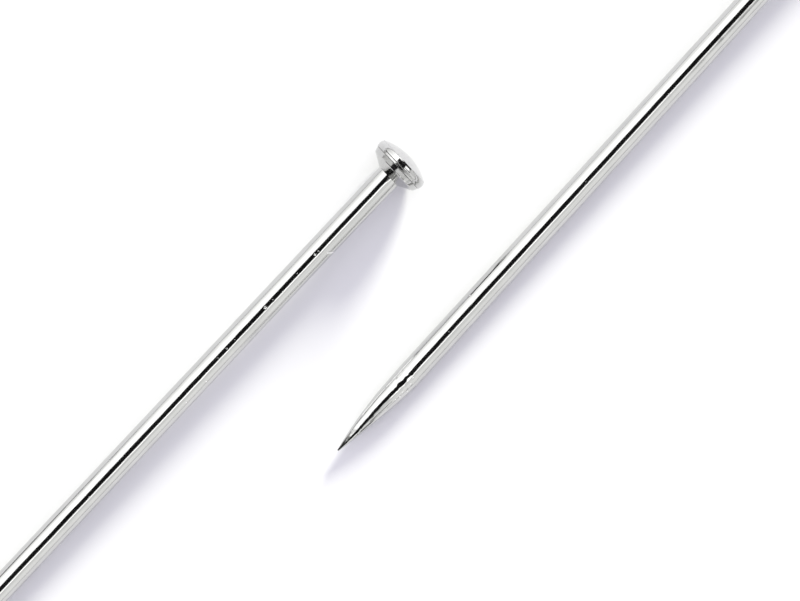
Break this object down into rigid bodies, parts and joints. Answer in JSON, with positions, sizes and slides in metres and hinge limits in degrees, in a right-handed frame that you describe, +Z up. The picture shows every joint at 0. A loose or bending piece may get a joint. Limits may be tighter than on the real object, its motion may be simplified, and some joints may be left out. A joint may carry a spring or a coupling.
{
  "type": "pair of straight pins",
  "caption": "Pair of straight sewing pins lying side by side: plain nickel-plated wire shanks ground to a point, with shallow domed heads on a cone.",
  "frame": {"origin": "on the surface that the pins lie on, at the centre of the pair's box", "axes": "+X along the pins towards their heads, +Y from the right pin to the left pin, +Z up from the surface"},
  "size_m": [0.0454, 0.0051, 0.0015],
  "materials": {
    "shank_nickel": "bright nickel plate on drawn steel wire",
    "head_nickel": "bright nickel plate on a struck steel head"
  },
  "bodies": {
    "left_pin": {"left_shank": "shank_nickel", "left_head": "head_nickel"},
    "right_pin": {"right_shank": "shank_nickel", "right_head": "head_nickel"}
  },
  "joints": [
    {"name": "right_pin_lift", "type": "slide", "parent": "left_pin", "child": "right_pin", "axis": [0, 0, 1], "range_m": [0, 0.03]}
  ]
}
